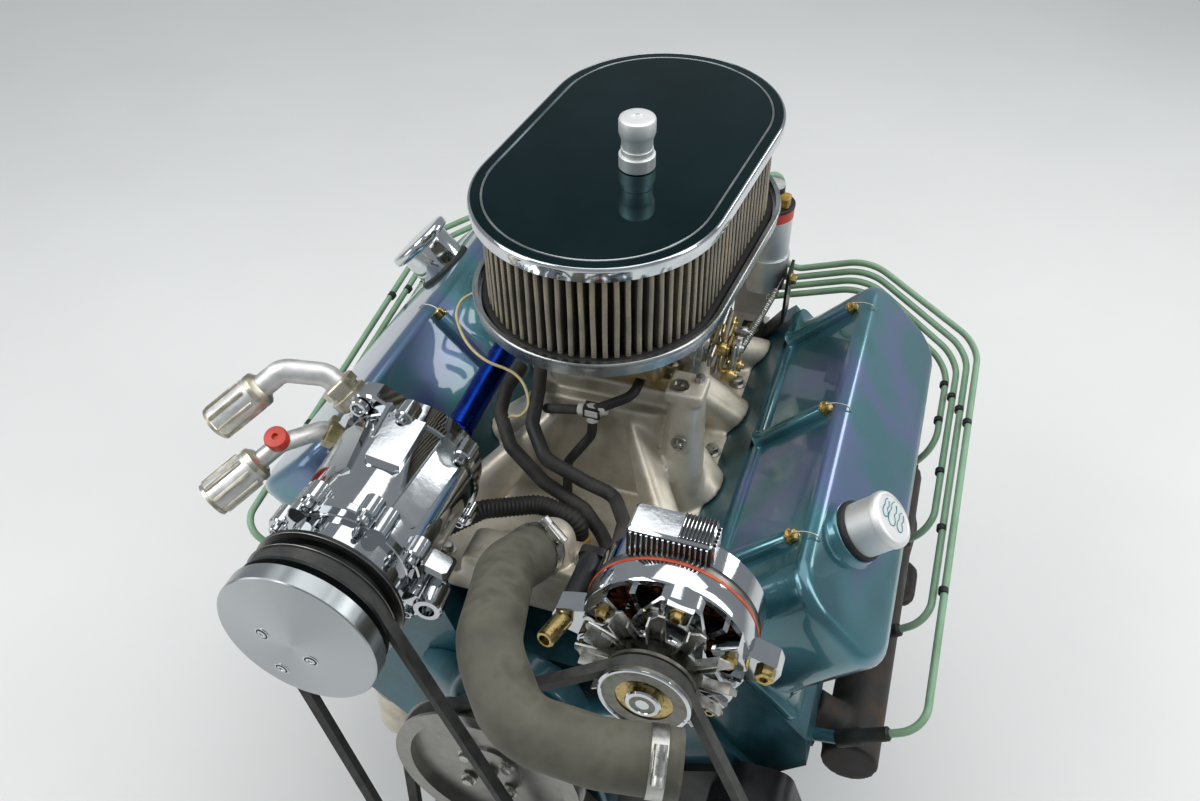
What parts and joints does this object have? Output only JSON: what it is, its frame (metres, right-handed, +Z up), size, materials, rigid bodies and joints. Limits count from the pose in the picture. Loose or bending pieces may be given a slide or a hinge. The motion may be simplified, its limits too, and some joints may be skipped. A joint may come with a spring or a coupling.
{
  "type": "dressed V8 engine",
  "caption": "V8 engine with tall painted valve covers, oval pleated air cleaner, carburettor and belt-driven accessories; its pulleys turn together, and the lid and oil cap lift off.",
  "frame": {"origin": "on the crankshaft's axis, at the block's rear face where the bell housing bolts on", "axes": "+X to the driver's (left-hand drive) side, +Y to the engine's rear, +Z up"},
  "size_m": [0.6852, 0.7235, 0.8449],
  "materials": {
    "teal_paint": "gloss metallic teal over cast iron and cast aluminium",
    "steel": "satin machined steel",
    "bright_steel": "bright plated steel",
    "chrome": "polished chrome plate",
    "brushed_aluminium": "brushed aluminium",
    "turned_aluminium": "satin turned aluminium",
    "cast_aluminium": "sand-cast, slightly warm with heat",
    "tube_aluminium": "drawn tube, satin",
    "carburettor_metal": "die-cast with gold passivation",
    "coil_steel": "silver can",
    "lid_metal": "dark mirror polish",
    "black_metal": "satin black",
    "filter_paint": "gloss black",
    "blue_anodised": "blue anodised",
    "brass": "yellow brass",
    "copper_winding": "varnished copper and laminations",
    "hose_rubber": "dusty grey-black moulded rubber",
    "belt_rubber": "fabric-sided V-belt",
    "black_plastic": "matte black",
    "filter_pleats": "oiled cotton pleats between wire mesh",
    "green_silicone": "pale green silicone"
  },
  "bodies": {
    "engine": {"block": "teal_paint", "oil_pan": "teal_paint", "timing_cover": "teal_paint", "water_pump": "teal_paint", "cylinder_head_right": "teal_paint", "cylinder_head_left": "teal_paint", "valve_cover_right": "teal_paint", "valve_cover_left": "teal_paint", "breather": "chrome", "intake_manifold": "cast_aluminium", "thermostat_housing": "cast_aluminium", "radiator_hose": "hose_rubber", "heater_hoses": "hose_rubber", "vacuum_hose": "hose_rubber", "wire_loom": "black_plastic", "coolant_sender": "brass", "carburettor": "carburettor_metal", "fuel_line": "tube_aluminium", "fuel_filter": "blue_anodised", "air_cleaner_base": "lid_metal", "air_filter": "filter_pleats", "alternator_front_frame": "chrome", "alternator_rear_frame": "chrome", "alternator_stator": "copper_winding", "alternator_bracket": "black_metal", "compressor_body": "chrome", "compressor_rear_head": "chrome", "compressor_bracket": "black_metal", "suction_fitting": "tube_aluminium", "discharge_fitting": "tube_aluminium", "power_steering_pump": "black_metal", "steering_bracket": "black_metal", "alternator_belt": "belt_rubber", "compressor_belt": "belt_rubber", "distributor": "black_plastic", "ignition_coil": "coil_steel", "exhaust_manifold_right": "black_metal", "exhaust_manifold_left": "black_metal", "oil_filter": "filter_paint", "fuel_pump": "cast_aluminium", "starter": "black_metal", "engine_mount_right": "black_metal", "engine_mount_left": "black_metal", "throttle_bracket": "black_metal", "return_spring": "bright_steel", "plug_wires_right": "green_silicone", "plug_wires_left": "green_silicone"},
    "crank": {"crankshaft": "steel", "harmonic_balancer": "steel", "crank_pulley": "steel"},
    "pump_rotor": {"water_pump_pulley": "steel"},
    "alternator_rotor": {"alternator_fan": "bright_steel", "alternator_pulley": "bright_steel"},
    "compressor_rotor": {"compressor_pulley": "black_metal", "clutch_cover": "brushed_aluminium"},
    "steering_rotor": {"power_steering_pulley": "steel"},
    "air_lid": {"air_cleaner_lid": "lid_metal", "lid_knob": "turned_aluminium"},
    "oil_cap": {"oil_filler_cap": "turned_aluminium"}
  },
  "joints": [
    {"name": "crank_spin", "type": "hinge", "parent": "engine", "child": "crank", "pos_m": [0, 0, 0], "axis": [0, 1, 0], "continuous": true},
    {"name": "water_pump_spin", "type": "hinge", "parent": "engine", "child": "pump_rotor", "pos_m": [0, 0, 0.178], "axis": [0, 1, 0], "continuous": true},
    {"name": "alternator_spin", "type": "hinge", "parent": "engine", "child": "alternator_rotor", "pos_m": [0.13, 0, 0.346], "axis": [0, 1, 0], "continuous": true},
    {"name": "compressor_spin", "type": "hinge", "parent": "engine", "child": "compressor_rotor", "pos_m": [-0.119, 0, 0.359], "axis": [0, 1, 0], "continuous": true},
    {"name": "steering_pump_spin", "type": "hinge", "parent": "engine", "child": "steering_rotor", "pos_m": [0.215, 0, 0.07], "axis": [0, 1, 0], "continuous": true},
    {"name": "air_lid_lift", "type": "slide", "parent": "engine", "child": "air_lid", "axis": [0, -0.0663, 0.9978], "range_m": [0, 0.12]},
    {"name": "oil_cap_lift", "type": "slide", "parent": "engine", "child": "oil_cap", "axis": [0.7071, 0, 0.7071], "range_m": [0, 0.06]}
  ],
  "couplings": [
    {"joint": "water_pump_spin", "follows": "crank_spin", "ratio": 1.05},
    {"joint": "alternator_spin", "follows": "crank_spin", "ratio": 2.5455},
    {"joint": "compressor_spin", "follows": "crank_spin", "ratio": 1.4},
    {"joint": "steering_pump_spin", "follows": "crank_spin", "ratio": 1.3548}
  ]
}
